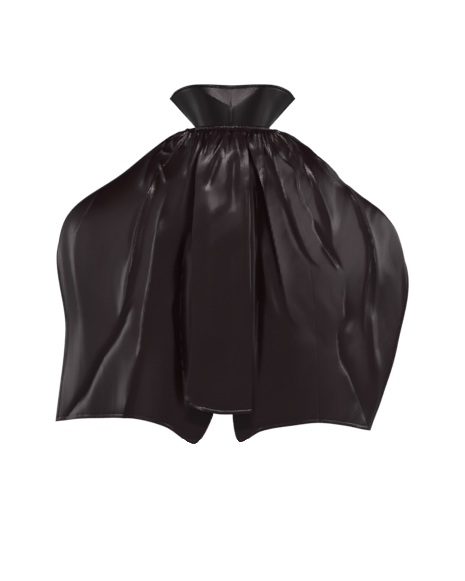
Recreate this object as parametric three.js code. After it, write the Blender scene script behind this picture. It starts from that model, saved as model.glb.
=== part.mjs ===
// A child's black satin cape: a stiffened stand-up collar, a narrow neckband, a shell of five gored panels
// gathered into the band, a scalloped bat-wing hem, and a hook-and-loop closure at the throat.
// The shell is modelled as worn with both arms spread: the back panel hangs in one broad box fold, and a
// wing on each side passes over the shoulder and the arm to its front edge.
//
// Millimetres. +Z is up, +Y is the way the wearer faces, +X is the wearer's right.
// The origin is the centre of the neck opening, level with the seam between the collar and the neckband.
import * as THREE from "three";

// ---------- driving dimensions ----------
const NECK_HALF_WIDTH = 87.6; // neckline, outside of the band, side to side
const NECK_HALF_DEPTH = 65; // neckline, outside of the band, back to front
const BAND_HEIGHT = 11;
const BAND_END = 150; // degrees round from the centre back to each end of the band
const BAND_CLOTH = 1.1;
const STAY_TAPE = 0.7;
const LAYER_GAP = 0.35; // clearance between pieces that touch

const COLLAR_END = 110; // degrees round from the centre back to each front edge of the collar
const COLLAR_CLOTH = 1.1;
const COLLAR_BASE = 2; // height of the collar's stiffened layers above the band
const INTERFACING = 0.8;
const TOPSTITCH_INSET = 7; // from the collar's edges to its topstitching
const TOPSTITCH_WIDTH = 1;
const TOPSTITCH_CLEARANCE = 0.9; // the thread stands proud of the collar's flat facets

const SHELL_THICKNESS = 2; // space held by the satin and its small creases
const SHELL_TOP = -BAND_HEIGHT - 2; // where the gathered edge leaves the band
const SHOULDER_LINE = -60; // below this height the wings swing, above it they rest on the shoulders
const SHOULDER_GAP = 2.6; // between the two, so that their sloping edges pass each other
const HINGE_CLEARANCE = 5; // from a wing's fold line to each cloth edge beside it

const TAB_HEIGHT = 20;
const TAB_CLOTH = 1.2;
const TAB_OVERLAP = 36; // how far one tab lies over the other
const TAB_KNEE = 22; // from the middle of the throat to the bend in each tab
const PATCH_HEIGHT = 16;
const PATCH_LENGTH = 32;
const PATCH_THICKNESS = 1;
const TAB_FRONT = 67.5; // outer face of the overlapping tab

// ---------- the shell's fold lines ----------
// Each rib runs down the cloth from the neckband to the hem. neck is its angle round the band from the centre
// back, positive to the wearer's right, and path holds its points at the stations. A crisp rib is a pressed
// fold, where the cloth turns a corner. A straight one is the line that a wing swings about.
const STATIONS = [0, 0.12, 0.27, 0.5, 0.75, 1];
const RIBS = {
  left_edge: {
    neck: -150,
    path: [[-130, 92, -62], [-245, 120, -140], [-423, 110, -262], [-411, 96, -490], [-434, 86, -712]],
  },
  left_arm: {
    neck: -125,
    path: [[-155, 54, -24], [-262, 72, -99], [-414, 97, -224], [-398, 78, -470], [-416, 72, -709]],
  },
  left_forearm: {
    neck: -100,
    path: [[-140, 14, -30], [-232, 22, -112], [-372, 42, -262], [-368, 42, -480], [-374, 40, -702]],
  },
  left_diagonal: {
    neck: -78,
    path: [[-125, -22, -48], [-200, -22, -150], [-290, -2, -335], [-305, 2, -520], [-325, 8, -698]],
  },
  left_seam: {
    neck: -61,
    path: [[-105, -50, -62], [-160, -62, -175], [-200, -62, -350], [-215, -52, -525], [-235, -45, -695]],
  },
  left_valley: {
    neck: -48,
    path: [[-88, -74, -68], [-118, -86, -180], [-132, -84, -345], [-140, -80, -520], [-158, -76, -712]],
  },
  left_point: {
    neck: -40,
    path: [[-66, -70, -64], [-84, -78, -182], [-86, -79, -360], [-86, -78, -540], [-87, -78, -752]],
  },
  left_fold: {
    neck: -32,
    crisp: true,
    straight: true,
    path: [[-45, -80, -62], [-45, -80, -185], [-45, -80, -355], [-45, -80, -525], [-45, -80, -684]],
  },
  panel_left: {
    neck: -24,
    crisp: true,
    path: [[-76, -101, -70], [-89, -114, -180], [-96, -120, -340], [-95, -122, -508], [-110, -124, -658]],
  },
  panel_middle: {
    neck: 0,
    path: [[-12, -101, -72], [-22, -116, -182], [-26, -122, -342], [-25, -124, -510], [-34, -126, -678]],
  },
  panel_right: {
    neck: 11,
    crisp: true,
    path: [[36, -101, -72], [39, -114, -182], [41, -120, -342], [46, -122, -510], [44, -124, -676]],
  },
  right_fold: {
    neck: 17,
    crisp: true,
    straight: true,
    path: [[0, -80, -62], [0, -80, -185], [0, -80, -355], [0, -80, -525], [0, -80, -684]],
  },
  right_point: {
    neck: 24,
    path: [[20, -69, -64], [18, -74, -182], [16, -76, -360], [15, -76, -540], [15, -76, -748]],
  },
  right_valley: {
    neck: 34,
    path: [[54, -69, -68], [58, -78, -182], [60, -78, -350], [62, -76, -525], [68, -78, -722]],
  },
  right_ridge: {
    neck: 48,
    path: [[82, -66, -66], [100, -74, -180], [122, -70, -350], [138, -64, -525], [145, -60, -710]],
  },
  right_seam: {
    neck: 64,
    path: [[110, -44, -58], [152, -52, -168], [184, -46, -345], [200, -38, -525], [206, -34, -706]],
  },
  right_diagonal: {
    neck: 80,
    path: [[130, -18, -44], [205, -14, -148], [262, -6, -340], [264, -2, -530], [272, 2, -716]],
  },
  right_forearm: {
    neck: 100,
    path: [[142, 16, -30], [236, 26, -112], [340, 46, -290], [322, 48, -500], [316, 44, -728]],
  },
  right_arm: {
    neck: 125,
    path: [[150, 54, -20], [262, 72, -118], [402, 98, -248], [384, 84, -500], [332, 64, -732]],
  },
  right_edge: {
    neck: 150,
    path: [[130, 94, -62], [245, 122, -145], [423, 112, -312], [407, 98, -522], [338, 84, -733]],
  },
};
const RIB_NAMES = Object.keys(RIBS);

// ---------- materials ----------
const satin = () => new THREE.MeshStandardMaterial({ color: 0x1b1618, roughness: 0.38, metalness: 0 });
const darkCloth = () => new THREE.MeshStandardMaterial({ color: 0x151213, roughness: 0.55, metalness: 0 });
const interfacing = () => new THREE.MeshStandardMaterial({ color: 0x2a2829, roughness: 0.85, metalness: 0 });
const tape = () => new THREE.MeshStandardMaterial({ color: 0x1f1d1e, roughness: 0.8, metalness: 0 });
const thread = () => new THREE.MeshStandardMaterial({ color: 0x241f21, roughness: 0.5, metalness: 0 });
const hookCloth = () => new THREE.MeshStandardMaterial({ color: 0x18181a, roughness: 0.7, metalness: 0 });

const cape = new THREE.Group();

// ---------- shared helpers ----------
const vec = (x, y, z) => new THREE.Vector3(x, y, z);
const radians = THREE.MathUtils.degToRad;
const range = (count) => [...Array(count).keys()];

// A point on the neckline, inset from the outside of the band.
function neckline(angle, inset, height) {
  const a = radians(angle);
  return vec(Math.sin(a) * (NECK_HALF_WIDTH - inset), -Math.cos(a) * (NECK_HALF_DEPTH - inset), height);
}

// Cubic interpolation through points at uneven knots. The tangent is zero at a crisp point.
function through(knots, points, t, crisp = () => false) {
  let i = 0;
  while (i < knots.length - 2 && t > knots[i + 1]) i += 1;
  const step = knots[i + 1] - knots[i];
  const tangent = (k) => {
    if (crisp(k)) return vec(0, 0, 0);
    const before = Math.max(k - 1, 0);
    const after = Math.min(k + 1, knots.length - 1);
    return points[after].clone().sub(points[before]).multiplyScalar(1 / (knots[after] - knots[before]));
  };
  const f = (t - knots[i]) / step;
  const f2 = f * f;
  const f3 = f2 * f;
  return points[i]
    .clone()
    .multiplyScalar(2 * f3 - 3 * f2 + 1)
    .addScaledVector(tangent(i), (f3 - 2 * f2 + f) * step)
    .addScaledVector(points[i + 1], 3 * f2 - 2 * f3)
    .addScaledVector(tangent(i + 1), (f3 - f2) * step);
}

// A closed solid between two grids of points, rows by columns, with the same shape.
function solidBetween(outer, inner) {
  const rows = outer.length;
  const columns = outer[0].length;
  const positions = [...outer.flat(), ...inner.flat()].flatMap((p) => p.toArray());
  const front = (r, c) => r * columns + c;
  const back = (r, c) => rows * columns + r * columns + c;
  const index = [];
  const quad = (a, b, c, d) => index.push(a, b, c, a, c, d);
  for (let r = 0; r < rows - 1; r += 1) {
    for (let c = 0; c < columns - 1; c += 1) {
      quad(front(r, c), front(r + 1, c), front(r + 1, c + 1), front(r, c + 1));
      quad(back(r, c), back(r, c + 1), back(r + 1, c + 1), back(r + 1, c));
    }
    quad(front(r, 0), back(r, 0), back(r + 1, 0), front(r + 1, 0));
    quad(front(r, columns - 1), front(r + 1, columns - 1), back(r + 1, columns - 1), back(r, columns - 1));
  }
  for (let c = 0; c < columns - 1; c += 1) {
    quad(front(0, c), front(0, c + 1), back(0, c + 1), back(0, c));
    quad(front(rows - 1, c), back(rows - 1, c), back(rows - 1, c + 1), front(rows - 1, c + 1));
  }
  const geometry = new THREE.BufferGeometry();
  geometry.setAttribute("position", new THREE.Float32BufferAttribute(positions, 3));
  geometry.setIndex(index);
  return geometry;
}

// The unit normals of a grid of points, facing away from the wearer.
function gridNormals(grid) {
  const rows = grid.length;
  const columns = grid[0].length;
  return range(rows).map((r) =>
    range(columns).map((c) => {
      const across = grid[r][Math.min(c + 1, columns - 1)].clone().sub(grid[r][Math.max(c - 1, 0)]);
      const down = grid[Math.min(r + 1, rows - 1)][c].clone().sub(grid[Math.max(r - 1, 0)][c]);
      return down.cross(across).normalize();
    }),
  );
}

const offsetGrid = (grid, normals, distance) =>
  grid.map((row, r) => row.map((p, c) => p.clone().addScaledVector(normals[r][c], distance)));

// A sheet of even thickness, from one distance off the grid to another.
function sheet(grid, low, high) {
  const normals = gridNormals(grid);
  return solidBetween(offsetGrid(grid, normals, high), offsetGrid(grid, normals, low));
}

function add(name, geometry, material) {
  const flat = geometry.toNonIndexed();
  flat.computeVertexNormals();
  const mesh = new THREE.Mesh(flat, material);
  mesh.name = name;
  cape.add(mesh);
}

// ---------- the shell ----------
function ribPoint(name, v) {
  const rib = RIBS[name];
  const top = neckline(rib.neck, 1, SHELL_TOP);
  return through(STATIONS, [top, ...rib.path.map((p) => vec(...p))], v, () => rib.straight === true);
}

// The shell's middle surface: u counts ribs from the left front edge, v goes from the neckband to the hem.
function shellPoint(u, v) {
  const section = RIB_NAMES.map((name) => ribPoint(name, v));
  const knots = [0];
  for (let i = 1; i < section.length; i += 1) {
    knots.push(knots[i - 1] + section[i].distanceTo(section[i - 1]));
  }
  const i = Math.min(Math.floor(u), section.length - 2);
  const t = knots[i] + (u - i) * (knots[i + 1] - knots[i]);
  return through(knots, section, t, (k) => RIBS[RIB_NAMES[k]].crisp === true);
}

// The u of the shell's point that lies a margin away from a rib, on the side of its neighbour at u + towards.
function besideRib(rib, towards, v, margin) {
  const start = shellPoint(rib, v);
  let near = 0;
  let far = 1;
  for (let i = 0; i < 14; i += 1) {
    const middle = (near + far) / 2;
    if (shellPoint(rib + towards * middle, v).distanceTo(start) < margin) near = middle;
    else far = middle;
  }
  return rib + towards * far;
}

// The v at which the cloth at u comes down to a height.
function heightAt(u, height) {
  let above = 0;
  let below = 1;
  for (let i = 0; i < 18; i += 1) {
    const middle = (above + below) / 2;
    if (shellPoint(u, middle).z > height) above = middle;
    else below = middle;
  }
  return below;
}

// A length of one gore between two ribs, held clear of each rib by a margin in millimetres. It runs from the
// height top to the height bottom, or from the neckband and to the hem where these are null.
function gore({ from, to, margins, top = null, bottom = null, perRib, rows }) {
  const first = RIB_NAMES.indexOf(from);
  const last = RIB_NAMES.indexOf(to);
  const clear = (u, v) => {
    const start = besideRib(first, 1, v, margins[0]);
    const end = besideRib(last, -1, v, margins[1]);
    if (u < first + 1) return THREE.MathUtils.lerp(start, first + 1, u - first);
    if (u > last - 1) return THREE.MathUtils.lerp(end, last - 1, last - u);
    return u;
  };
  const columns = range((last - first) * perRib + 1).map((c) => {
    const u = first + c / perRib;
    const start = top === null ? 0 : heightAt(u, top);
    const end = bottom === null ? 1 : heightAt(u, bottom);
    return range(rows + 1).map((r) => {
      const v = start + ((end - start) * r) / rows;
      return shellPoint(clear(u, v), v);
    });
  });
  const grid = range(rows + 1).map((r) => columns.map((column) => column[r]));
  return sheet(grid, -SHELL_THICKNESS / 2, SHELL_THICKNESS / 2);
}

// A wing's gore is two pieces: its top rests on the shoulder, and the rest swings.
function addWingGore(name, shape) {
  const top = gore({ ...shape, bottom: SHOULDER_LINE + SHOULDER_GAP / 2, perRib: 3, rows: 4 });
  const wing = gore({ ...shape, top: SHOULDER_LINE - SHOULDER_GAP / 2, perRib: 3, rows: 14 });
  add(name + "_gore_top", top, satin());
  add(name + "_gore", wing, satin());
}

function buildShell() {
  const panelMargins = [HINGE_CLEARANCE, HINGE_CLEARANCE];
  const panel = { from: "left_fold", to: "right_fold", margins: panelMargins, perRib: 4, rows: 14 };
  add("back_panel", gore(panel), satin());
  addWingGore("left_front", { from: "left_edge", to: "left_seam", margins: [0, LAYER_GAP] });
  addWingGore("left_side", { from: "left_seam", to: "left_fold", margins: [LAYER_GAP, HINGE_CLEARANCE] });
  addWingGore("right_side", { from: "right_fold", to: "right_seam", margins: [HINGE_CLEARANCE, LAYER_GAP] });
  addWingGore("right_front", { from: "right_seam", to: "right_edge", margins: [LAYER_GAP, 0] });
}

// ---------- the neckband ----------
// A strip that follows the neckline, from one inset to a deeper one.
function bandStrip(inset, thickness, low, high, end) {
  const steps = 44;
  const face = (depth) =>
    [high, low].map((z) => range(steps + 1).map((i) => neckline(-end + (2 * end * i) / steps, depth, z)));
  return solidBetween(face(inset), face(inset + thickness));
}

function buildNeckband() {
  const tapeInset = BAND_CLOTH + LAYER_GAP;
  const innerInset = tapeInset + STAY_TAPE + LAYER_GAP;
  add("neckband_outer", bandStrip(0, BAND_CLOTH, -BAND_HEIGHT, 0, BAND_END), satin());
  add("neckband_stay_tape", bandStrip(tapeInset, STAY_TAPE, 2 - BAND_HEIGHT, -2, BAND_END - 3), tape());
  add("neckband_inner", bandStrip(innerInset, BAND_CLOTH, -BAND_HEIGHT, 0, BAND_END), darkCloth());
}

// ---------- the collar ----------
const COLLAR_KNOTS = [0, 0.35, 0.65, 0.85, 1];
const COLLAR_TOP = [[0, -58, 97], [62, -56, 98], [105, -32, 98], [136, 8, 90], [152, 50, 77]];

// The collar's middle surface: s goes from -1 at the left front edge to 1 at the right, t from base to top.
function collarPoint(s, t) {
  const base = neckline(s * COLLAR_END, BAND_CLOTH + LAYER_GAP, COLLAR_BASE);
  const top = through(COLLAR_KNOTS, COLLAR_TOP.map((p) => vec(...p)), Math.abs(s));
  top.x *= Math.sign(s) || 1;
  return base.lerp(top, t);
}

function collarLayer(low, high) {
  const columns = 28;
  const rows = 5;
  const grid = range(rows + 1).map((r) =>
    range(columns + 1).map((c) => collarPoint((2 * c) / columns - 1, 1 - r / rows)),
  );
  return sheet(grid, low, high);
}

// The collar's outward normal.
function collarNormal(s, t) {
  const step = 0.01;
  const across = collarPoint(s + step, t).sub(collarPoint(s - step, t));
  const up = collarPoint(s, t + step).sub(collarPoint(s, t - step));
  return across.cross(up).normalize();
}

// The flat line of thread that runs up one front edge of the collar, along its top and down the other.
function collarTopstitch(height, thickness) {
  const up = 1 - TOPSTITCH_INSET / 102;
  const side = 1 - TOPSTITCH_INSET / 180;
  const corners = [[-side, 0.1], [-side, up], [side, up], [side, 0.1]];
  const steps = [5, 34, 5];
  const route = steps.flatMap((count, leg) =>
    range(count + (leg === 2 ? 1 : 0)).map((i) => {
      const [from, to] = [corners[leg], corners[leg + 1]];
      return [0, 1].map((k) => THREE.MathUtils.lerp(from[k], to[k], i / count));
    }),
  );
  const centre = route.map(([s, t]) => collarPoint(s, t));
  const faces = [height + thickness, height].map((offset) =>
    centre.map((p, i) => {
      const normal = collarNormal(...route[i]);
      const ahead = centre[Math.min(i + 1, centre.length - 1)].clone().sub(centre[Math.max(i - 1, 0)]);
      const across = normal.clone().cross(ahead).setLength(TOPSTITCH_WIDTH / 2);
      const middle = p.clone().addScaledVector(normal, offset);
      return [middle.clone().sub(across), middle.add(across)];
    }),
  );
  return solidBetween(...faces);
}

function buildCollar() {
  const half = INTERFACING / 2;
  const near = half + LAYER_GAP;
  const far = near + COLLAR_CLOTH;
  add("collar_interfacing", collarLayer(-half, half), interfacing());
  add("collar_outer", collarLayer(near, far), satin());
  add("collar_inner", collarLayer(-far, -near), satin());
  add("collar_topstitch", collarTopstitch(far + TOPSTITCH_CLEARANCE, 0.5), thread());
}

// ---------- the throat closure ----------
// A strip of cloth that leaves one end of the band, side -1 on the left and 1 on the right, bends at the knee
// and runs flat across the throat past the middle.
function closureTab(side, front) {
  const start = neckline(side * (BAND_END + 0.7), 0, 0);
  const plan = [start, vec(side * TAB_KNEE, front, 0), vec((-side * TAB_OVERLAP) / 2, front, 0)];
  if (side > 0) plan.reverse();
  const face = (depth) =>
    [TAB_HEIGHT - BAND_HEIGHT, -BAND_HEIGHT].map((z) => plan.map((p) => vec(p.x, p.y - depth, z)));
  return solidBetween(face(TAB_CLOTH), face(0));
}

function patch(front) {
  const geometry = new THREE.BoxGeometry(PATCH_LENGTH, PATCH_THICKNESS, PATCH_HEIGHT);
  return geometry.translate(0, front - PATCH_THICKNESS / 2, TAB_HEIGHT / 2 - BAND_HEIGHT);
}

// The overlapping tab is sewn to the left end of the band and carries the hooks on its inner face. The
// underlapping tab is sewn to the right end and carries the loops on its outer face.
function buildClosure() {
  const hookFront = TAB_FRONT - TAB_CLOTH - LAYER_GAP;
  const loopFront = hookFront - PATCH_THICKNESS - LAYER_GAP;
  const underFront = loopFront - PATCH_THICKNESS - LAYER_GAP;
  add("closure_overlap_tab", closureTab(-1, TAB_FRONT), satin());
  add("hook_patch", patch(hookFront), hookCloth());
  add("loop_patch", patch(loopFront), hookCloth());
  add("closure_underlap_tab", closureTab(1, underFront), satin());
}

buildShell();
buildNeckband();
buildCollar();
buildClosure();

export default cape;
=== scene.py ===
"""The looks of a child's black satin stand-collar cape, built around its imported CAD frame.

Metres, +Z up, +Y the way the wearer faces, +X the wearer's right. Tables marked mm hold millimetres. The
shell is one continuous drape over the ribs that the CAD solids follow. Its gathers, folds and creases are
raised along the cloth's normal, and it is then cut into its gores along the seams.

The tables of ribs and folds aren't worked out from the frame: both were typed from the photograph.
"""

import math

import bpy
import numpy as np
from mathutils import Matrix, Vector


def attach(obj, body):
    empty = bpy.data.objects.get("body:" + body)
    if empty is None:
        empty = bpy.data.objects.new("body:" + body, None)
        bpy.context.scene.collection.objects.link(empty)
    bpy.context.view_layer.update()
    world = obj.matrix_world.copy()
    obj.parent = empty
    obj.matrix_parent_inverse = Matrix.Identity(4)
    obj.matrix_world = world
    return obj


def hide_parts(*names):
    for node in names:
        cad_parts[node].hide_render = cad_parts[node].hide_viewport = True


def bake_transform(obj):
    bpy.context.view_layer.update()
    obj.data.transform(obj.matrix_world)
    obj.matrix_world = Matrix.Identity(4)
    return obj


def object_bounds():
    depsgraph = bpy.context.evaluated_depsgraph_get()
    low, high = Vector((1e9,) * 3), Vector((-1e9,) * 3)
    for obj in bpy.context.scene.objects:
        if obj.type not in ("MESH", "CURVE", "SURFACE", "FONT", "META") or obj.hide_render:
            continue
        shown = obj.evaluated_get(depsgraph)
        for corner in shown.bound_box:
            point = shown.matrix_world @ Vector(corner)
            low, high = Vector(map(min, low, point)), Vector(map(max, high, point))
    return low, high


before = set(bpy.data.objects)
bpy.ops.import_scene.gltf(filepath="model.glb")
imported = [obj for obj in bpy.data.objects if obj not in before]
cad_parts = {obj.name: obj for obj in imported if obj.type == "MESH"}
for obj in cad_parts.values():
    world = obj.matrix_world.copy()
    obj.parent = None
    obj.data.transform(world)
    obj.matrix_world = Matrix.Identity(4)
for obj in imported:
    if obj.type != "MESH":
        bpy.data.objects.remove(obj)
CAD_BOX = [list(corner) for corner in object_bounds()]
MM = 0.001

# ---------------------------------------------------------------- camera
VIEW_HEIGHT = 1.394  # seen from the bottom of the picture to the top
VIEW_DROP = 0.064  # the camera looks this far below the middle of the cape
LENS = 100.0
SENSOR = 36.0
VIEW_DISTANCE = VIEW_HEIGHT * LENS / SENSOR


def make_camera():
    low, high = (Vector(corner) for corner in CAD_BOX)
    centre = (low + high) / 2
    data = bpy.data.cameras.new("camera")
    data.lens = LENS
    data.sensor_width = SENSOR
    camera = bpy.data.objects.new("camera", data)
    camera.location = (centre.x, centre.y - VIEW_DISTANCE, centre.z - VIEW_DROP)
    camera.rotation_euler = (math.radians(90), 0, 0)
    bpy.context.scene.collection.objects.link(camera)
    bpy.context.scene.camera = camera


make_camera()

# ---------------------------------------------------------------- driving dimensions, as in the CAD model
NECK_HALF_WIDTH = 87.6 * MM
NECK_HALF_DEPTH = 65 * MM
BAND_HEIGHT = 11 * MM
BAND_END = 150
SHELL_TOP = -8 * MM  # the gathered edge is tucked up under the band
CLOTH = 0.5 * MM
HEM = 9 * MM

STATIONS = np.array([0, 0.12, 0.27, 0.5, 0.75, 1])
# mm: the angle round the neck, and the points at the stations below the band. The same ribs as the CAD shell,
# typed to follow the outline in the photograph.
RIBS = {
    "left_edge": (-150, [
        (-130, 92, -62), (-245, 120, -140), (-423, 110, -262), (-411, 96, -490), (-434, 86, -712),
    ]),
    "left_arm": (-125, [
        (-155, 54, -24), (-262, 72, -99), (-414, 97, -224), (-398, 78, -470), (-416, 72, -709),
    ]),
    "left_forearm": (-100, [
        (-140, 14, -30), (-232, 22, -112), (-372, 42, -262), (-368, 42, -480), (-374, 40, -702),
    ]),
    "left_diagonal": (-78, [
        (-125, -22, -48), (-200, -22, -150), (-290, -2, -335), (-305, 2, -520), (-325, 8, -698),
    ]),
    "left_seam": (-61, [
        (-105, -50, -62), (-160, -62, -175), (-200, -62, -350), (-215, -52, -525), (-235, -45, -695),
    ]),
    "left_valley": (-48, [
        (-88, -74, -68), (-118, -86, -180), (-132, -84, -345), (-140, -80, -520), (-158, -76, -712),
    ]),
    "left_point": (-40, [
        (-66, -70, -64), (-84, -78, -182), (-86, -79, -360), (-86, -78, -540), (-87, -78, -752),
    ]),
    "left_fold": (-32, [
        (-45, -80, -62), (-45, -80, -185), (-45, -80, -355), (-45, -80, -525), (-45, -80, -684),
    ]),
    "panel_left": (-24, [
        (-76, -101, -70), (-89, -114, -180), (-96, -120, -340), (-95, -122, -508), (-110, -124, -658),
    ]),
    "panel_middle": (0, [
        (-12, -101, -72), (-22, -116, -182), (-26, -122, -342), (-25, -124, -510), (-34, -126, -678),
    ]),
    "panel_right": (11, [
        (36, -101, -72), (39, -114, -182), (41, -120, -342), (46, -122, -510), (44, -124, -676),
    ]),
    "right_fold": (17, [
        (0, -80, -62), (0, -80, -185), (0, -80, -355), (0, -80, -525), (0, -80, -684),
    ]),
    "right_point": (24, [
        (20, -69, -64), (18, -74, -182), (16, -76, -360), (15, -76, -540), (15, -76, -748),
    ]),
    "right_valley": (34, [
        (54, -69, -68), (58, -78, -182), (60, -78, -350), (62, -76, -525), (68, -78, -722),
    ]),
    "right_ridge": (48, [
        (82, -66, -66), (100, -74, -180), (122, -70, -350), (138, -64, -525), (145, -60, -710),
    ]),
    "right_seam": (64, [
        (110, -44, -58), (152, -52, -168), (184, -46, -345), (200, -38, -525), (206, -34, -706),
    ]),
    "right_diagonal": (80, [
        (130, -18, -44), (205, -14, -148), (262, -6, -340), (264, -2, -530), (272, 2, -716),
    ]),
    "right_forearm": (100, [
        (142, 16, -30), (236, 26, -112), (340, 46, -290), (322, 48, -500), (316, 44, -728),
    ]),
    "right_arm": (125, [
        (150, 54, -20), (262, 72, -118), (402, 98, -248), (384, 84, -500), (332, 64, -732),
    ]),
    "right_edge": (150, [
        (130, 94, -62), (245, 122, -145), (423, 112, -312), (407, 98, -522), (338, 84, -733),
    ]),
}
RIB_NAMES = list(RIBS)
CRISP_RIBS = ("left_fold", "panel_left", "panel_right", "right_fold")
STRAIGHT_RIBS = ("left_fold", "right_fold")

# mm: the folds that the cloth hangs in, read off enlarged crops of the photograph. Each has its route down
# the cloth, used as x and z; its height; its width to the left and to the right of its crest; and how sharp
# its crest is, from 0 for round to 1 for pressed.
FOLDS = {
    "left": [
        ([(-183, -53), (-198, -88), (-210, -128), (-217, -158)], 4, 14, 9, 0.5),
        ([(-193, -108), (-203, -153), (-223, -203), (-238, -253), (-245, -303),
          (-250, -353)], -7, 10, 9, 0.5),
        ([(-173, -83), (-183, -123), (-193, -163), (-208, -213), (-218, -253), (-228, -313), (-240, -363),
          (-250, -403), (-268, -453), (-285, -503)], 15, 14, 9, 0.85),
        ([(-173, -80), (-163, -108), (-155, -142)], 6, 6, 10, 0.9),
        ([(-228, -408), (-253, -448), (-283, -503), (-318, -553), (-353, -623), (-383, -668),
          (-415, -712), (-450, -760)], -10, 7, 18, 0.9),
        ([(-150, -143), (-163, -203), (-169, -253), (-178, -303), (-185, -353), (-195, -403),
          (-203, -453), (-210, -498), (-218, -538), (-228, -600)], 15, 8, 30, 0.9),
        ([(-212, -500), (-226, -580), (-240, -636), (-256, -700), (-280, -800)], 13, 34, 8, 0.6),
        ([(-215, -533), (-228, -593), (-245, -658)], -5, 6, 10, 0.8),
        ([(-318, -140), (-340, -183), (-353, -206), (-373, -238), (-392, -268)], 4.5, 6, 24, 0.8),
        ([(-123, -313), (-134, -393), (-143, -433), (-140, -473), (-133, -533), (-123, -593),
          (-113, -638)], 6, 16, 5, 0.7),
        ([(-100, -230), (-112, -310), (-121, -400), (-122, -480), (-118, -560), (-112, -640),
          (-106, -700)], -26, 20, 16, 0.3),
        ([(-143, -19), (-156, -34), (-164, -53), (-160, -62), (-145, -65), (-133, -74)], 4, 4, 4, 0.8),
        ([(-126, -9), (-135, -38), (-138, -62)], 4, 5, 5, 0.7),
        ([(-111, -19), (-123, -41), (-136, -70)], 4, 5, 5, 0.7),
        ([(-91, -16), (-100, -30), (-113, -48)], 5, 8, 8, 0.3),
        ([(-80, -20), (-92, -60), (-104, -100), (-110, -130)], 5, 8, 10, 0.4),
    ],
    "centre": [
        ([(-57, -12), (-57, -37), (-62, -60), (-74, -95)], 3.5, 4, 6, 0.7),
        ([(-27, -16), (-25, -41), (-36, -62), (-52, -90), (-66, -120)], 3.5, 5, 6, 0.5),
        ([(-28, -58), (-40, -98), (-54, -134), (-62, -160)], -5, 11, 10, 0.2),
        ([(9, -22), (12, -52), (16, -85), (18, -150)], 3, 9, 8, 0.3),
        ([(8, -60), (4, -105), (1, -160), (0, -215)], -5, 12, 12, 0.1),
        ([(2, -240), (2, -340), (4, -470), (8, -620)], -3, 18, 14, 0.1),
        ([(-52, -150), (-50, -220), (-52, -320), (-56, -460), (-60, -600)], 5, 22, 24, 0.0),
        ([(32, -110), (34, -220), (36, -360), (37, -520)], 3, 8, 6, 0.4),
        ([(-112, -632), (-99, -653), (-76, -668), (-52, -674)], 3, 7, 8, 0.7),
    ],
    "right": [
        ([(44, -70), (56, -160), (59, -280), (60, -420), (58, -560), (54, -690)], -12, 9, 12, 0.4),
        ([(33, -16), (38, -45), (48, -80), (61, -122)], 5, 4, 6, 0.8),
        ([(54, -88), (63, -124), (73, -158), (84, -215), (96, -275), (108, -335), (119, -393),
          (134, -450), (168, -486)], 12, 8, 26, 0.8),
        ([(59, -240), (68, -310), (84, -393), (100, -450), (108, -484)], 5, 12, 12, 0.2),
        ([(109, -118), (134, -218), (154, -273), (192, -336)], -6, 8, 8, 0.4),
        ([(57, -24), (76, -56), (91, -90), (102, -120), (118, -165), (134, -208), (154, -263),
          (169, -293), (189, -318), (220, -342)], 12, 7, 32, 0.85),
        ([(86, -18), (94, -58), (109, -83), (139, -103), (149, -123), (154, -158), (184, -213),
          (209, -263)], 5, 14, 5, 0.8),
        ([(159, -63), (175, -105), (189, -143), (204, -213)], -5, 6, 6, 0.7),
        ([(168, -55), (196, -140), (216, -190), (232, -240), (244, -320)], 12, 11, 22, 0.5),
        ([(187, -213), (204, -248), (229, -288), (249, -318), (269, -353)], -8, 8, 6, 0.9),
        ([(208, -276), (234, -313), (256, -346)], 4.5, 6, 5, 0.8),
        ([(160, -26), (194, -68), (229, -98), (259, -123), (292, -166)], 6, 5, 7, 0.9),
        ([(142, -20), (184, -52), (214, -84), (244, -110), (284, -152)], 5, 5, 6, 0.8),
        ([(190, -60), (219, -93), (245, -122), (272, -143)], 4, 5, 5, 0.8),
        ([(268, -130), (284, -153), (304, -193), (319, -233), (332, -273), (339, -318), (344, -358),
          (345, -408), (343, -480)], 12, 8, 12, 0.85),
        ([(331, -270), (328, -343), (319, -393), (316, -433), (317, -473), (326, -515)], 6, 7, 7, 0.8),
        ([(333, -415), (338, -490), (344, -550), (348, -620)], 6, 13, 13, 0.3),
        ([(274, -340), (274, -418), (279, -458), (262, -488), (262, -523), (269, -558), (289, -603),
          (309, -658), (324, -703), (336, -745)], -12, 8, 18, 0.85),
        ([(270, -565), (290, -622), (307, -664)], 4, 14, 5, 0.6),
        ([(353, -530), (352, -640), (338, -720)], 4, 16, 14, 0.3),
        ([(98, -16), (124, -38), (134, -56), (131, -82)], 4.5, 5, 5, 0.8),
        ([(80, -16), (99, -41), (110, -66), (128, -83)], 4.5, 5, 5, 0.8),
        ([(118, -16), (142, -36), (160, -60)], 4, 6, 6, 0.6),
    ],
}


# ---------------------------------------------------------------- curves and noise
def cubic(f, step, start, start_tangent, end, end_tangent):
    """The cubic between two points, a share f of the way along a step."""
    return (
        (2 * f**3 - 3 * f**2 + 1) * start
        + (f**3 - 2 * f**2 + f) * step * start_tangent
        + (3 * f**2 - 2 * f**3) * end
        + (f**3 - f**2) * step * end_tangent
    )


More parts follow.
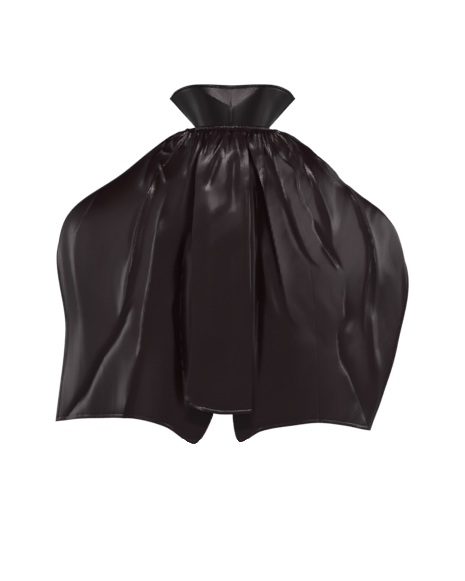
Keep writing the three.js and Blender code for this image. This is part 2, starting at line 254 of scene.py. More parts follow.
def hermite(knots, points, t, flat=()):
    """Cubic interpolation of points at uneven knots. The tangent is zero at the flat points."""
    knots, points, t = np.asarray(knots, float), np.asarray(points, float), np.asarray(t, float)
    last = len(knots) - 1
    i = np.clip(np.searchsorted(knots, t, side="right") - 1, 0, last - 1)
    before, after = np.maximum(np.arange(last + 1) - 1, 0), np.minimum(np.arange(last + 1) + 1, last)
    tangents = (points[after] - points[before]) / (knots[after] - knots[before])[:, None]
    tangents[list(flat)] = 0
    step = (knots[i + 1] - knots[i])[:, None]
    f = (t - knots[i])[:, None] / step
    return cubic(f, step, points[i], tangents[i], points[i + 1], tangents[i + 1])


def smooth(x):
    x = np.clip(x, 0, 1)
    return x * x * (3 - 2 * x)


def noise(x, y, seed):
    """Gradient noise from about -1 to 1, with a lattice step of 1."""
    turns = np.random.default_rng(seed).uniform(0, 2 * math.pi, (64, 64))
    x0, y0 = np.floor(x).astype(int), np.floor(y).astype(int)
    fx, fy = x - x0, y - y0
    ease = lambda f: f**3 * (f * (f * 6 - 15) + 10)

    def corner(i, j):
        turn = turns[(x0 + i) % 64, (y0 + j) % 64]
        return np.cos(turn) * (fx - i) + np.sin(turn) * (fy - j)

    near = corner(0, 0) * (1 - ease(fx)) + corner(1, 0) * ease(fx)
    far = corner(0, 1) * (1 - ease(fx)) + corner(1, 1) * ease(fx)
    return (near * (1 - ease(fy)) + far * ease(fy)) * 1.5


def neckline(angle, inset, z):
    a = np.radians(angle)
    x = np.sin(a) * (NECK_HALF_WIDTH - inset)
    y = -np.cos(a) * (NECK_HALF_DEPTH - inset)
    return np.stack(np.broadcast_arrays(x, y, z), -1)


def normals_of(grid):
    """Unit normals of a (rows, columns, 3) grid that point away from the wearer."""
    normal = np.cross(np.gradient(grid, axis=0), np.gradient(grid, axis=1))
    return normal / np.maximum(np.linalg.norm(normal, axis=-1, keepdims=True), 1e-12)


# ---------------------------------------------------------------- meshes
def link(mesh, name, materials):
    obj = bpy.data.objects.new(name, mesh)
    for material in materials:
        mesh.materials.append(material)
    bpy.context.scene.collection.objects.link(obj)
    return obj


def sheet_mesh(name, outer, inner, uv, materials):
    """A closed sheet between two grids. Outer faces take the first material, and the others the last."""
    rows, columns = outer.shape[:2]
    count = rows * columns
    index = np.arange(count).reshape(rows, columns)
    corners = [index[:-1, :-1], index[1:, :-1], index[1:, 1:], index[:-1, 1:]]
    front = np.stack(corners, -1).reshape(-1, 4)
    back = front[:, ::-1] + count
    ring = np.concatenate([index[0, :-1], index[:-1, -1], index[-1, :0:-1], index[:0:-1, 0]])
    ahead = np.roll(ring, -1)
    rim = np.stack([ring, ahead, ahead + count, ring + count], -1)
    faces = np.concatenate([front, back, rim])
    mesh = bpy.data.meshes.new(name)
    points = np.concatenate([outer.reshape(-1, 3), inner.reshape(-1, 3)])
    mesh.from_pydata(points.tolist(), [], faces.tolist())
    layer = mesh.uv_layers.new(name="cloth")
    flat_uv = np.concatenate([uv.reshape(-1, 2)] * 2)
    layer.data.foreach_set("uv", flat_uv[faces.ravel()].astype(np.float32).ravel())
    obj = link(mesh, name, materials)
    kinds = np.zeros(len(faces), np.int32)
    kinds[len(front):] = len(materials) - 1
    mesh.polygons.foreach_set("material_index", kinds)
    mesh.polygons.foreach_set("use_smooth", np.ones(len(faces), bool))
    mesh.set_sharp_from_angle(angle=math.radians(65))
    return obj


def stitches_mesh(name, points, normals, pitch, length, thick, material):
    """Thread stitches laid along a line of points: short rods with rounded ends, half sunk in the cloth."""
    steps = np.linalg.norm(np.diff(points, axis=0), axis=1)
    along = np.concatenate([[0], np.cumsum(steps)])
    starts = np.arange(pitch / 2, along[-1] - length, pitch)
    at = lambda s: np.stack([np.interp(s, along, points[:, k]) for k in range(3)], -1)
    up = lambda s: np.stack([np.interp(s, along, normals[:, k]) for k in range(3)], -1)
    stations, radii = (0.0, 0.18, 0.5, 0.82, 1.0), (0.35, 0.9, 1.0, 0.9, 0.35)
    sides = 6
    verts, faces = [], []
    for start in starts:
        base = len(verts)
        for f, r in zip(stations, radii):
            s = start + f * length
            centre, normal = at(s), up(s)
            ahead = at(s + 0.2 * MM) - at(s - 0.2 * MM)
            across = np.cross(normal, ahead)
            across /= max(np.linalg.norm(across), 1e-12)
            lift = thick * (0.35 - 0.5 * (2 * f - 1) ** 2)
            for k in range(sides):
                a = 2 * math.pi * k / sides
                ring = across * math.cos(a) + normal * math.sin(a)
                verts.append(tuple(centre + normal * lift + ring * thick / 2 * r))
        for j in range(len(stations) - 1):
            for k in range(sides):
                a, b = base + j * sides + k, base + j * sides + (k + 1) % sides
                faces.append((a, b, b + sides, a + sides))
        faces.append(tuple(base + k for k in reversed(range(sides))))
        faces.append(tuple(base + (len(stations) - 1) * sides + k for k in range(sides)))
    mesh = bpy.data.meshes.new(name)
    mesh.from_pydata(verts, [], faces)
    mesh.polygons.foreach_set("use_smooth", np.ones(len(faces), bool))
    return link(mesh, name, [material])


# ---------------------------------------------------------------- materials
def node(tree, kind, **inputs):
    made = tree.nodes.new(kind)
    for key, value in inputs.items():
        made.inputs[key.replace("_", " ")].default_value = value
    return made


def cloth_material(name, dark, light, gloss, specular, crush, weave_pitch, weave=0.1, sheen=0.0):
    """A woven cloth. Its colour drifts between two tones, and its weave and fine creases shape its gloss."""
    material = bpy.data.materials.new(name)
    material.use_nodes = True
    tree = material.node_tree
    shader = tree.nodes["Principled BSDF"]
    shader.inputs["Specular IOR Level"].default_value = specular
    shader.inputs["Specular Tint"].default_value = (1.0, 0.86, 0.9, 1)
    shader.inputs["Sheen Weight"].default_value = sheen
    shader.inputs["Sheen Roughness"].default_value = 0.4
    place = tree.nodes.new("ShaderNodeTexCoord")
    drift = node(tree, "ShaderNodeTexNoise", Scale=7.0, Detail=3.0)
    tree.links.new(place.outputs["Object"], drift.inputs["Vector"])
    tones = tree.nodes.new("ShaderNodeValToRGB")
    tones.color_ramp.elements[0].position = 0.32
    tones.color_ramp.elements[0].color = (*dark, 1)
    tones.color_ramp.elements[1].position = 0.68
    tones.color_ramp.elements[1].color = (*light, 1)
    tree.links.new(drift.outputs["Fac"], tones.inputs["Fac"])
    tree.links.new(tones.outputs["Color"], shader.inputs["Base Color"])
    grain = node(tree, "ShaderNodeTexNoise", Scale=45.0, Detail=4.0)
    tree.links.new(place.outputs["Object"], grain.inputs["Vector"])
    shine = tree.nodes.new("ShaderNodeMapRange")
    shine.inputs["To Min"].default_value = gloss[0]
    shine.inputs["To Max"].default_value = gloss[1]
    tree.links.new(grain.outputs["Fac"], shine.inputs["Value"])
    tree.links.new(shine.outputs["Result"], shader.inputs["Roughness"])
    threads = node(tree, "ShaderNodeTexWave", Scale=math.pi / (10 * weave_pitch), Distortion=1.5, Detail=1.0)
    threads.inputs["Detail Scale"].default_value = 2.0
    tree.links.new(place.outputs["UV"], threads.inputs["Vector"])
    woven = node(tree, "ShaderNodeBump", Strength=weave, Distance=0.0002)
    tree.links.new(threads.outputs["Fac"], woven.inputs["Height"])
    stretch = node(tree, "ShaderNodeMapping", Scale=(70.0, 26.0, 1.0))
    tree.links.new(place.outputs["UV"], stretch.inputs["Vector"])
    creases = node(tree, "ShaderNodeTexNoise", Scale=1.0, Detail=3.0, Roughness=0.55)
    tree.links.new(stretch.outputs["Vector"], creases.inputs["Vector"])
    crushed = node(tree, "ShaderNodeBump", Strength=crush, Distance=0.002)
    tree.links.new(creases.outputs["Fac"], crushed.inputs["Height"])
    tree.links.new(woven.outputs["Normal"], crushed.inputs["Normal"])
    tree.links.new(crushed.outputs["Normal"], shader.inputs["Normal"])
    return material


SATIN_WEAVE = 0.0007
SATIN = cloth_material(
    "satin", (0.019, 0.0085, 0.0108), (0.0245, 0.0115, 0.0142), (0.27, 0.35), 0.46, 0.1, SATIN_WEAVE
)
# A darker copy of the satin, used on the collar and the closure tabs: its darker tones are painted shade.
SHADED_SATIN = cloth_material(
    "satin with painted shade", (0.0068, 0.0046, 0.005), (0.0085, 0.0058, 0.0063), (0.31, 0.38), 0.34, 0.04, SATIN_WEAVE
)
REVERSE = cloth_material(
    "satin reverse", (0.018, 0.0125, 0.0135), (0.024, 0.0165, 0.018), (0.55, 0.68), 0.3, 0.14, SATIN_WEAVE
)
THREAD = cloth_material(
    "thread", (0.014, 0.0095, 0.0105), (0.02, 0.014, 0.0155), (0.4, 0.5), 0.45, 0.1, 0.0003, 0.4
)
TAPE = cloth_material(
    "twill tape", (0.02, 0.018, 0.019), (0.03, 0.027, 0.028), (0.75, 0.85), 0.2, 0.2, 0.0012, 0.6
)
STIFFENER = cloth_material(
    "interfacing", (0.03, 0.028, 0.029), (0.05, 0.047, 0.048), (0.8, 0.9), 0.2, 0.4, 0.0009
)
HOOKS = cloth_material(
    "hook tape", (0.012, 0.012, 0.013), (0.02, 0.02, 0.022), (0.4, 0.5), 0.4, 0.2, 0.0015, 0.8
)
LOOPS = cloth_material(
    "loop tape", (0.016, 0.015, 0.016), (0.03, 0.028, 0.03), (0.85, 0.95), 0.1, 0.8, 0.0012, 0.5, 0.5
)

# ---------------------------------------------------------------- the shell
CLOTH_STEP = 2.6 * MM
HEM_ROWS = 11
SHELL_LENGTH = 0.72  # from the band to the hem, about
PLAIN_LENGTH = 0.71  # the part of it above the close rows
HEM_CORNER = 0.045  # the folds die out this near a corner of the hem
HEM_STITCH = (3.2 * MM, 2.4 * MM, 0.5 * MM)  # pitch, length and thickness, as in each STITCH below


def row_positions():
    """Where the rows of cloth lie from the band, 0, to the hem, 1, with close rows across the turned hem."""
    hem_start = 1 - 1.6 * HEM / SHELL_LENGTH
    body = np.linspace(0, hem_start, int(PLAIN_LENGTH / CLOTH_STEP))
    return np.concatenate([body, np.linspace(hem_start, 1, HEM_ROWS)[1:]])


ROWS = row_positions()


def rib_path(name):
    angle, path = RIBS[name]
    points = np.concatenate([neckline(np.array([angle]), 1 * MM, SHELL_TOP), np.array(path) * MM])
    return hermite(STATIONS, points, ROWS, range(len(STATIONS)) if name in STRAIGHT_RIBS else ())


RIB_PATHS = np.array([rib_path(name) for name in RIB_NAMES])
RIB_ANGLES = np.array([angle for angle, path in RIBS.values()], float)
RIB_KNOTS = np.cumsum(
    np.concatenate([np.zeros((1, len(ROWS))), np.linalg.norm(np.diff(RIB_PATHS, axis=0), axis=-1)]), axis=0
)


def drape(u):
    """The smooth drape at positions u, counted in ribs: a (rows, columns, 3) grid."""
    last = len(RIB_NAMES) - 1
    tangents = np.zeros_like(RIB_PATHS)
    for k in range(last + 1):
        if RIB_NAMES[k] not in CRISP_RIBS:
            a, b = max(k - 1, 0), min(k + 1, last)
            tangents[k] = (RIB_PATHS[b] - RIB_PATHS[a]) / (RIB_KNOTS[b] - RIB_KNOTS[a])[:, None]
    grid = []
    for value in u:
        i = min(int(value), last - 1)
        step = (RIB_KNOTS[i + 1] - RIB_KNOTS[i])[:, None]
        grid.append(cubic(value - i, step, RIB_PATHS[i], tangents[i], RIB_PATHS[i + 1], tangents[i + 1]))
    return np.stack(grid, 1)


def fold_heights(grid, folds):
    """The height of the folds at each point of the grid, by its place across and down the cape."""
    x, z = grid[..., 0], grid[..., 2]
    total = np.zeros_like(x)
    for route, height, left, right, crispness in folds:
        line = hermite(np.linspace(0, 1, len(route)), np.array(route) * MM, np.linspace(0, 1, 8 * len(route)))
        reach = 4.5 * max(left, right) * MM
        low, high = line.min(0) - reach, line.max(0) + reach
        inside = (x > low[0]) & (x < high[0]) & (z > low[1]) & (z < high[1])
        px, pz = x[inside], z[inside]
        best = np.full(px.shape, 1e9)
        along = np.zeros_like(best)
        offset = np.zeros_like(best)
        length = np.linspace(0, 1, len(line))
        for k in range(len(line) - 1):
            a, d = line[k], line[k + 1] - line[k]
            t = np.clip(((px - a[0]) * d[0] + (pz - a[1]) * d[1]) / (d @ d), 0, 1)
            dx, dz = px - a[0] - t * d[0], pz - a[1] - t * d[1]
            distance = np.hypot(dx, dz)
            nearer = distance < best
            best = np.where(nearer, distance, best)
            along = np.where(nearer, length[k] + t * (length[k + 1] - length[k]), along)
            offset = np.where(nearer, (d[0] * dz - d[1] * dx) / np.hypot(*d), offset)
        # A route runs down the cloth, so a positive offset is towards the wearer's right.
        share = smooth(offset / (4 * MM) * 0.5 + 0.5)
        w = best / ((left + (right - left) * share) * MM)
        profile = (1 - crispness) * np.exp(-w * w) + crispness * np.exp(-1.7 * w)
        fade = smooth(along / 0.25) * smooth((1 - along) / 0.4)
        total[inside] += height * MM * profile * fade
    return total


def gather_heights(angle, distance):
    """Pleats that radiate from the band: narrow valleys pressed between rounded ridges, some of them long."""
    draws = np.random.default_rng(11)
    total = np.zeros_like(distance)
    for count, rise, reach, narrow in ((84, 1.8, 22, 0.6), (38, 8.0, 44, 0.55), (22, 7.0, 78, 0.45)):
        walls = np.linspace(-BAND_END, BAND_END, count + 1)
        walls[1:-1] += draws.uniform(-0.38, 0.38, count - 1) * 300 / count
        sway = 1.8 * noise(angle / 11, distance / 0.05, 60 + count) * smooth(distance / 0.02)
        seen = np.clip(angle + sway, -BAND_END, BAND_END - 1e-6)
        pleat = np.searchsorted(walls, seen, side="right") - 1
        f = (seen - walls[pleat]) / np.diff(walls)[pleat]
        # Each pleat leans to one side, as pressed gathers do.
        f = f ** draws.uniform(0.6, 1.6, count)[pleat]
        reaches = (reach * draws.uniform(0.5, 1.5, count) * MM)[pleat]
        heights = (rise * draws.uniform(0.5, 1.3, count) * MM)[pleat]
        swell = 0.2 + 0.8 * smooth(distance / 0.02)
        ridge = (np.sin(math.pi * f) + 1e-4) ** narrow
        total += heights * swell * ridge * np.exp(-((distance / reaches) ** 2))
    # The front edges lie flat, so the closure tab can fold back over them.
    return total * (0.1 + 0.9 * smooth((BAND_END - np.abs(angle)) / 24))


def cloth_waves(across, down):
    """The slight waves of hanging satin."""
    broad = noise(across / 0.07, down / 0.3, 3) * 1.2 * MM
    middle = noise(across / 0.034, down / 0.15, 4) * 0.4 * MM
    crease = (1 - np.abs(noise(across / 0.03, down / 0.2, 5))) ** 10 * 0.3 * MM
    return broad + middle + crease * smooth(noise(across / 0.11, down / 0.13, 6) * 1.6)


def shell_columns():
    u = [np.array([0.0])]
    middle = int(len(ROWS) * 0.55)
    for i in range(len(RIB_NAMES) - 1):
        steps = max(int(round((RIB_KNOTS[i + 1, middle] - RIB_KNOTS[i, middle]) / CLOTH_STEP)), 6)
        u.append(i + np.arange(1, steps + 1) / steps)
    return np.concatenate(u)


def running_length(grid, axis):
    """How far each point lies along the cloth from the first row, on axis 0, or column, on axis 1."""
    steps = np.linalg.norm(np.diff(grid, axis=axis), axis=-1)
    start = np.zeros_like(steps.take([0], axis))
    return np.concatenate([start, np.cumsum(steps, axis=axis)], axis=axis)


def drape_shell():
    """The whole shell: columns, middle surface, normals, cloth plan, and distance in from hem and edge."""
    u = shell_columns()
    grid = drape(u)
    down, across = running_length(grid, 0), running_length(grid, 1)
    angle = np.broadcast_to(np.interp(u, np.arange(len(RIB_NAMES)), RIB_ANGLES), down.shape)
    height = gather_heights(angle, down) + cloth_waves(across, down) * smooth((down - 0.02) / 0.08)
    left, right = RIB_NAMES.index("left_fold"), RIB_NAMES.index("right_fold")
    for word, columns in (("left", u <= left), ("centre", (u > left) & (u < right)), ("right", u >= right)):
        height[:, columns] += fold_heights(grid[:, columns], FOLDS[word])
    from_hem = down[-1:] - down
    from_edge = np.minimum(across, across[:, -1:] - across)
    height *= 1 - 0.95 * np.exp(-(from_hem**2 + from_edge**2) / HEM_CORNER**2)
    # The wings swing about their fold lines, so the cloth stays on these lines.
    for rib in (left, right):
        away = np.abs(across - across[:, u == rib])
        height *= 1 - (1 - smooth(away / 0.014)) * smooth(down / 0.05)
    for name in ("left_seam", "right_seam"):
        away = np.abs(across - across[:, u == RIB_NAMES.index(name)])
        pucker = noise(down / 0.009, away / 0.02, 8) * 0.4 * MM * np.exp(-away / 0.007)
        groove = 0.7 * MM * np.exp(-((away / (1.8 * MM)) ** 2))
        height += (pucker - groove) * (0.2 + 0.8 * np.exp(-from_hem / 0.03))
    turned = np.minimum(from_hem, from_edge)
    height += noise(across / 0.02, down / 0.02, 9) * 0.35 * MM * np.exp(-((turned - HEM) / 0.006) ** 2)
    seam = -0.45 * MM * np.exp(-(((turned - HEM) / (1.3 * MM)) ** 2))
    height += seam + 0.3 * MM * smooth((HEM - turned) / (1.5 * MM))
    grid = grid + normals_of(grid) * height[..., None]
    return u, grid, normals_of(grid), np.stack([across, down], -1), turned


def cut_size(grid):
    """The area, width and length of the flat piece that a gore was cut from."""
    a, b = grid[1:, :-1] - grid[:-1, :-1], grid[:-1, 1:] - grid[:-1, :-1]
    area = float(np.linalg.norm(np.cross(a, b), axis=-1).sum())
    width = float(np.linalg.norm(np.diff(grid, axis=1), axis=-1).sum(1).max())
    length = float(np.linalg.norm(np.diff(grid, axis=0), axis=-1).sum(0).max())
    return area, (width, length)


def swing(obj):
    """Bakes the piece's placement into its mesh."""
    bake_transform(obj)


def build_gore(word, shell, first, last, nodes, side):
    """One gore of the shell, with the stitches of its hem and front edge."""
    u, grid, normal, uv, turned = shell
    a, b = (int(np.flatnonzero(u == RIB_NAMES.index(name))[0]) for name in (first, last))
    part = slice(a, b + 1)
    grid, normal, uv = grid[:, part], normal[:, part], uv[:, part]
    # The hem and the front edge are turned twice, so the cloth is thicker there.
    half = CLOTH / 2 * (1 + 1.6 * smooth((HEM - turned[:, part]) / (1 * MM)))[..., None]
    satin = sheet_mesh(f"{word}_satin", grid + normal * half, grid - normal * half, uv, [SATIN, REVERSE])
    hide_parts(*nodes)
    level = [int(np.argmin(np.abs(uv[-1, c, 1] - uv[:, c, 1] - HEM))) for c in range(grid.shape[1])]
    columns = np.arange(grid.shape[1])
    line, up = grid[level, columns], normal[level, columns]
    made = [stitches_mesh(f"{word}_hem_stitches", line + up * 0.5 * MM, up, *HEM_STITCH, THREAD)]
    for edge, column in (("left_edge", 0), ("right_edge", -1)):
        if edge in (first, last):
            gap = np.abs(uv[:, :, 0] - uv[:, column, None, 0])
            across = [int(np.argmin(np.abs(gap[r] - HEM))) for r in range(grid.shape[0])]
            rows = np.arange(grid.shape[0])
            line, up = grid[rows, across], normal[rows, across]
            name = f"{word}_edge_stitches"
            made.append(stitches_mesh(name, line + up * 0.5 * MM, up, *HEM_STITCH, THREAD))
    for piece in (satin, *made):
        if side == 0:
            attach(piece, "root")
        else:
            swing(piece)


def build_shell():
    shell = drape_shell()
    build_gore("back_panel", shell, "left_fold", "right_fold", ["back_panel"], 0)
    for word, side in (("left", -1), ("right", 1)):
        front = [f"{word}_edge", f"{word}_seam"][::-side]
        inner = [f"{word}_seam", f"{word}_fold"][::-side]
        build_gore(f"{word}_front", shell, *front, [f"{word}_front_gore", f"{word}_front_gore_top"], side)
        build_gore(f"{word}_side", shell, *inner, [f"{word}_side_gore", f"{word}_side_gore_top"], side)


build_shell()

# ---------------------------------------------------------------- the collar
COLLAR_END = 110
COLLAR_BASE = -4 * MM  # the lower edge is sewn inside the band
COLLAR_KNOTS = [0, 0.35, 0.65, 0.85, 1]
COLLAR_TOP = np.array([(0, -58, 96), (62, -56, 97), (105, -32, 97), (136, 8, 89), (152, 50, 76)]) * MM
COLLAR_RISE = 0.102  # along the cloth at the centre back, about
COLLAR_REACH = 0.19  # along the cloth from the centre back to a front edge, about
COLLAR_CREASE = -0.02  # where the bend at the back runs down, as a share of that reach
STITCH_INSET = 7 * MM
COLLAR_STITCH = (3.4 * MM, 2.7 * MM, 0.55 * MM)


def collar_surface(columns, rows, overhang):
    s = np.linspace(-1 - overhang, 1 + overhang, columns)
    t = np.linspace(1 + overhang, 0, rows)
    top = hermite(COLLAR_KNOTS, COLLAR_TOP, np.clip(np.abs(s), 0, 1.02))
    top[:, 0] *= np.sign(s)
    base = neckline(s * COLLAR_END, 1.9 * MM, COLLAR_BASE)
    grid = base[None] + (top - base)[None] * t[:, None, None]
    return grid, np.broadcast_to(s[None], grid.shape[:2]), np.broadcast_to(t[:, None], grid.shape[:2])


def collar_relief(s, t):
    """How far the stiff collar lies off its even curve: a bend that dents the back, and slight ripples."""
    side = np.sqrt(((s - COLLAR_CREASE) / np.where(s < COLLAR_CREASE, 0.56, 0.5)) ** 2 + 0.008)
    depth = (t - 0.47) / 0.53 - side
    crisp = np.maximum(depth, 0)
    soft = 0.5 * (depth + np.sqrt(depth**2 + 0.035))
    dent = -11 * MM * np.where(s < COLLAR_CREASE, crisp, soft * smooth((depth + 0.35) / 0.5))
    crease = 1.2 * MM * np.exp(-(((s - COLLAR_CREASE) / 0.035) ** 2))
    crease = crease * smooth((0.62 - t) / 0.3) * smooth(t / 0.1)
    return dent + crease + noise(s * 4 + 3, t * 2.0, 40) * 0.5 * MM


def build_collar():
    grid, s, t = collar_surface(300, 96, 0.008)
    normal = normals_of(grid)
    from_top = (t[0] - t) * COLLAR_RISE
    from_side = (s[0, -1] - np.abs(s)) * COLLAR_REACH
    edge = np.minimum(from_top, from_side)
    relief = collar_relief(s, t)
    groove = -0.8 * MM * np.exp(-(((edge - STITCH_INSET) / (1.1 * MM)) ** 2))
    puff = 0.6 * MM * smooth(edge / (3 * MM)) * smooth((STITCH_INSET - edge) / (3 * MM))
    pucker = noise(s * 60, t * 30, 41) * 0.25 * MM * np.exp(-(((edge - STITCH_INSET) / (4 * MM)) ** 2))
    roll = 1.5 * MM * np.sqrt(np.clip(edge / (2.2 * MM), 0, 1)) + groove + puff + pucker
    uv = np.stack([s * COLLAR_REACH, (1 - t) * COLLAR_RISE], -1)
    thin = 0.4 * MM
    pieces = {}
    for cad, sign in (("collar_outer", 1), ("collar_inner", -1)):
        face = grid + normal * (relief + sign * roll)[..., None]
        back = grid + normal * (relief + sign * (roll - thin))[..., None]
        outer, inner = (face, back) if sign > 0 else (back, face)
        obj = sheet_mesh(f"{cad}_satin", outer, inner, uv, [SHADED_SATIN])
        pieces[cad] = obj
        if sign > 0:
            outside = face
    core = grid + normal * relief[..., None]
    inset = (slice(4, None), slice(5, -5))
    core, half = core[inset], normal[inset] * 0.3 * MM
    stiffener = sheet_mesh("collar_interfacing_sheet", core + half, core - half, uv[inset], [STIFFENER])
    pieces["collar_interfacing"] = stiffener
    rows, columns = s.shape
    inset_rows = int(np.argmin(np.abs(from_top[:, 0] - STITCH_INSET)))
    left = int(np.argmin(np.abs(from_side[0, : columns // 2] - STITCH_INSET)))
    right = columns - 1 - left
    low = rows - 9
    route = [(r, left) for r in range(low, inset_rows, -1)]
    route += [(inset_rows, c) for c in range(left, right)]
    route += [(r, right) for r in range(inset_rows, low)]
    r, c = np.array(route).T
    normal_out = normals_of(outside)
    line = outside[r, c] + normal_out[r, c] * 0.1 * MM
    stitches = stitches_mesh("collar_topstitching", line, normal_out[r, c], *COLLAR_STITCH, THREAD)
    pieces["collar_topstitch"] = stitches
    for cad, obj in pieces.items():
        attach(obj, "root")
        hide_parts(cad)
    for cad in ("collar_outer", "collar_inner", "collar_interfacing"):
        obj = pieces[cad]


build_collar()


# ---------------------------------------------------------------- the neckband
BAND_MARGIN = 0.5  # degrees that the strips stop short of the band's ends, and the tape more
TAPE_MARGIN = 3
BAND_STITCH_ROW = 13
BAND_STITCH = (3.0 * MM, 2.3 * MM, 0.6 * MM)


def band_strip(name, angle, inset, thickness, low, high, bulge, pucker, material, cad):
    """A strip of the band. It bulges between its sewn edges and puckers along them."""
    t = np.linspace(1, 0, 16)[:, None]
    angle = angle[None] + 0 * t
    outward = neckline(angle, 0, 0) - neckline(angle, 1 * MM, 0)
    outward /= np.linalg.norm(outward, axis=-1, keepdims=True)
    surface = neckline(angle, inset, low + (high - low) * t)
    flatten = smooth((BAND_END - np.abs(angle)) / 8)
    swell = bulge * (1 - (2 * t - 1) ** 2) * flatten
    gathers = noise(angle / 2.4, t * 1.5 + 4, 50) * pucker * (1.2 - t) * flatten
    grid = surface + outward * (swell + gathers)[..., None]
    normal = normals_of(grid)
    uv = np.stack([angle * 0.0014, (1 - t) * (high - low) + 0 * angle], -1)
    half = thickness / 2
    obj = sheet_mesh(name, grid + normal * half, grid - normal * half, uv, [material])
    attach(obj, "root")
    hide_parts(cad)
    return grid, normal


def build_band():
    angle = np.linspace(BAND_MARGIN - BAND_END, BAND_END - BAND_MARGIN, 620)
    grid, normal = band_strip(
        "neckband_outer_satin", angle, 0 * MM, 0.5 * MM, -BAND_HEIGHT, 0.4 * MM, 2.2 * MM, 1.2 * MM, SATIN,
        "neckband_outer",
    )
    band_strip(
        "neckband_inner_lining", angle, 4.2 * MM, 0.5 * MM, -BAND_HEIGHT, 0, -0.6 * MM, 0.3 * MM, REVERSE,
        "neckband_inner",
    )
    band_strip(
        "neckband_stay_tape_strip", np.linspace(TAPE_MARGIN - BAND_END, BAND_END - TAPE_MARGIN, 300), 3 * MM,
        0.5 * MM, 0.4 * MM - BAND_HEIGHT, -0.4 * MM, 0, 0, TAPE, "neckband_stay_tape",
    )
    up = normal[BAND_STITCH_ROW]
    line = grid[BAND_STITCH_ROW] + up * 0.35 * MM
    stitches = stitches_mesh("neckband_stitches", line, up, *BAND_STITCH, THREAD)
    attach(stitches, "root")


build_band()


# ---------------------------------------------------------------- the throat closure
TAB_HEIGHT = 20 * MM
TAB_CLOTH = 1.2 * MM
TAB_OVERLAP = 36 * MM
TAB_KNEE = 22 * MM
TAB_FRONT = 67.5 * MM
PATCH_HEIGHT = 16 * MM
PATCH_LENGTH = 32 * MM
PATCH_THICKNESS = 1 * MM
LAYER_GAP = 0.35 * MM
TAB_START = 0.06  # the tab leaves the band this share of the way to its knee
TAB_MESH_STEP = 0.35 * MM
TAB_STITCH_INSET = 2 * MM
TAB_STITCH = (2.6 * MM, 2 * MM, 0.45 * MM)


def closure_piece(name, plan, height, thickness, relief, material, slot, cad, body):
    """An upright strip of cloth along a plan of (x, y) points, with rounded edges and a relief in front."""
    plan = np.array(plan, float)
    turn = np.concatenate([[0], np.cumsum(np.linalg.norm(np.diff(plan, axis=0), axis=1))])
    along = np.linspace(0, turn[-1], int(turn[-1] / TAB_MESH_STEP))
    x, y = (np.interp(along, turn, plan[:, k]) for k in (0, 1))
    down = np.linspace(0, height, int(height / TAB_MESH_STEP))
    middle = TAB_HEIGHT / 2 - BAND_HEIGHT
    grid = np.stack(np.broadcast_arrays(x[None], y[None], (middle + height / 2 - down)[:, None]), -1)
    normal = normals_of(grid)
    grid = grid - normal * thickness / 2
    from_top = np.minimum(down, height - down)[:, None]
    from_side = np.minimum(along, along[-1] - along)[None]
    edge = np.minimum(from_top, from_side)
    half = thickness / 2 * np.sqrt(np.clip(edge / thickness + 0.15, 0, 1))
    uv = np.stack(np.broadcast_arrays(along[None], down[:, None]), -1)
    front = half + relief(along[None], down[:, None], edge)
    obj = sheet_mesh(name, grid + normal * front[..., None], grid - normal * half[..., None], uv, [material])
    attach(obj, body)
    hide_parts(cad)
    area, flat = cut_size(grid)
    return obj, grid + normal * front[..., None], normal, (area, flat)


def tab_plan(side, front):
    """The plan of a closure tab, from the wearer's right to the wearer's left."""
    start = neckline(np.array([side * BAND_END]), 0, 0)[0, :2]
    start += (np.array([side * TAB_KNEE, front]) - start) * TAB_START
    plan = [start, (side * TAB_KNEE, front), (-side * TAB_OVERLAP / 2, front)]
    return plan if side > 0 else plan[::-1]


def patch_plan(front):
    return [(PATCH_LENGTH / 2, front), (-PATCH_LENGTH / 2, front)]


def tab_relief(along, down, edge):
    """The stitched edge of a tab, and slight puckers beside it."""
    groove = -0.25 * MM * np.exp(-(((edge - TAB_STITCH_INSET) / (0.5 * MM)) ** 2))
    return groove + noise(along / 0.006, down / 0.006, 70) * 0.2 * MM * smooth(edge / TAB_STITCH_INSET)


def hook_relief(along, down, edge):
    """Rows of stiff hooks."""
    rows = np.abs(np.sin(along * math.pi / (1.1 * MM)) * np.sin(down * math.pi / (1.1 * MM)))
    return 0.14 * MM * rows * smooth(edge / (1 * MM))


def loop_relief(along, down, edge):
    """A nap of fuzzy loops."""
    nap = noise(along / 0.0009, down / 0.0009, 71) + noise(along / 0.002, down / 0.002, 72)
    return nap * 0.07 * MM + 0 * edge


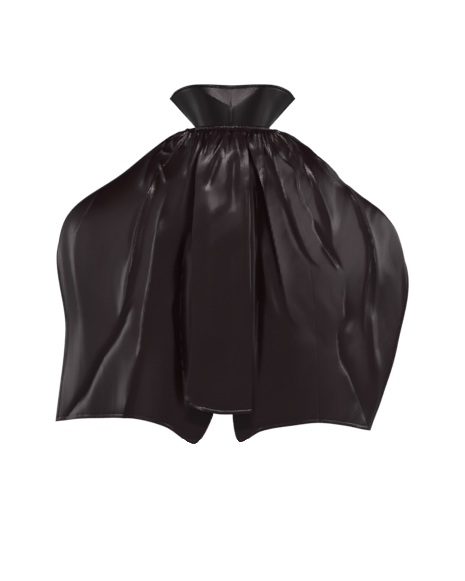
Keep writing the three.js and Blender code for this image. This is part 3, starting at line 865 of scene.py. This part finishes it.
def build_closure():
    hook_front = TAB_FRONT - TAB_CLOTH - LAYER_GAP
    loop_front = hook_front - PATCH_THICKNESS - LAYER_GAP
    under_front = loop_front - PATCH_THICKNESS - LAYER_GAP
    for name, *shape, slot, cad, body in (
        ("overlap_tab_satin", tab_plan(-1, TAB_FRONT), TAB_HEIGHT, TAB_CLOTH, tab_relief, SHADED_SATIN,
         "satin", "closure_overlap_tab", "closure_tab"),
        ("underlap_tab_satin", tab_plan(1, under_front), TAB_HEIGHT, TAB_CLOTH, tab_relief, SHADED_SATIN,
         "satin", "closure_underlap_tab", "root"),
        ("hook_tape", patch_plan(hook_front), PATCH_HEIGHT, PATCH_THICKNESS, hook_relief, HOOKS,
         "hook_tape", "hook_patch", "closure_tab"),
        ("loop_tape", patch_plan(loop_front), PATCH_HEIGHT, PATCH_THICKNESS, loop_relief, LOOPS,
         "loop_tape", "loop_patch", "root"),
    ):
        obj, face, normal, (area, flat) = closure_piece(name, *shape, slot, cad, body)
        if cad == "closure_overlap_tab":
            rows, columns = face.shape[:2]
            inset = int(TAB_STITCH_INSET / TAB_MESH_STEP)
            low, right = rows - 1 - inset, columns - 1 - inset
            route = [(inset, c) for c in range(inset, right)] + [(r, right) for r in range(inset, low)]
            route += [(low, c) for c in range(right, inset, -1)] + [(r, inset) for r in range(low, inset, -1)]
            r, c = np.array(route).T
            stitches = stitches_mesh("overlap_tab_stitches", face[r, c], normal[r, c], *TAB_STITCH, THREAD)
            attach(stitches, body)


build_closure()


# ---------------------------------------------------------------- the studio
WORLD_STRENGTH = 0.22
SWEEP_GLOW = 0.9


def area_light(name, place, target, size, power):
    data = bpy.data.lights.new(name, "AREA")
    data.shape = "RECTANGLE"
    data.size, data.size_y = size
    data.energy = power
    light = bpy.data.objects.new(name, data)
    light.location = place
    light.rotation_euler = (Vector(target) - Vector(place)).to_track_quat("-Z", "Y").to_euler()
    bpy.context.scene.collection.objects.link(light)


def build_sweep():
    """A round sweep: a pale floor that curves up into a wall, all round the object."""
    pale = bpy.data.materials.new("pale sweep")
    pale.use_nodes = True
    shader = pale.node_tree.nodes["Principled BSDF"]
    shader.inputs["Base Color"].default_value = (0.85, 0.85, 0.85, 1)
    shader.inputs["Roughness"].default_value = 0.9
    shader.inputs["Emission Color"].default_value = (1, 1, 1, 1)
    shader.inputs["Emission Strength"].default_value = SWEEP_GLOW
    floor, radius, corner, top = -1.06, 7.0, 3.0, 6.0
    turn = np.linspace(0, math.pi / 2, 12)
    profile = [(radius - corner + corner * math.sin(a), floor + corner - corner * math.cos(a)) for a in turn]
    profile.append((radius, top))
    around = 48
    verts = [
        (r * math.cos(2 * math.pi * k / around), r * math.sin(2 * math.pi * k / around), z)
        for r, z in profile
        for k in range(around)
    ] + [(0, 0, floor)]
    quad = ((0, 0), (0, 1), (1, 1), (1, 0))
    faces = [
        tuple((j + dj) * around + (k + dk) % around for dj, dk in quad)
        for j in range(len(profile) - 1)
        for k in range(around)
    ] + [(len(verts) - 1, (k + 1) % around, k) for k in range(around)]
    mesh = bpy.data.meshes.new("sweep")
    mesh.from_pydata(verts, [], faces)
    mesh.polygons.foreach_set("use_smooth", np.ones(len(faces), bool))
    sweep = link(mesh, "sweep", [pale])
    sweep.visible_diffuse = False
    sweep.visible_glossy = False
    sweep.visible_shadow = False


def build_ceiling():
    """A dark ceiling, so the cloth on the shoulders has nothing bright to mirror."""
    dark = bpy.data.materials.new("dark ceiling")
    dark.use_nodes = True
    shader = dark.node_tree.nodes["Principled BSDF"]
    shader.inputs["Base Color"].default_value = (0.002, 0.002, 0.002, 1)
    shader.inputs["Roughness"].default_value = 1.0
    shader.inputs["Specular IOR Level"].default_value = 0.0
    half, height = 4.4, 2.75
    corners = [(-half, -half, height), (half, -half, height), (half, half, height), (-half, half, height)]
    mesh = bpy.data.meshes.new("ceiling")
    mesh.from_pydata(corners, [], [(3, 2, 1, 0)])
    ceiling = link(mesh, "ceiling", [dark])
    ceiling.visible_camera = False


def build_studio():
    bpy.context.scene.view_settings.view_transform = "Standard"
    build_sweep()
    world = bpy.data.worlds.new("studio")
    world.use_nodes = True
    world.node_tree.nodes["Background"].inputs["Color"].default_value = (1, 1, 1, 1)
    world.node_tree.nodes["Background"].inputs["Strength"].default_value = WORLD_STRENGTH
    bpy.context.scene.world = world
    build_ceiling()
    area_light("left", (-3.2, 0.3, 0.1), (0, 0, -0.35), (0.4, 1.5), 13)
    area_light("right", (3.2, 0.4, 0.3), (0, 0, -0.35), (0.6, 1.5), 16)
    area_light("soft left", (-2.8, -1.6, 0.2), (0, 0, -0.35), (1.2, 1.6), 4)
    area_light("soft right", (3.0, -1.3, 0.4), (0, 0, -0.35), (1.2, 1.6), 11)
    area_light("high", (-0.1, -3.3, 1.95), (0, 0, 0.05), (1.1, 0.25), 54)
    area_light("front", (0, 3.4, -0.9), (0, 0, -0.4), (2.0, 1.2), 90)


build_studio()
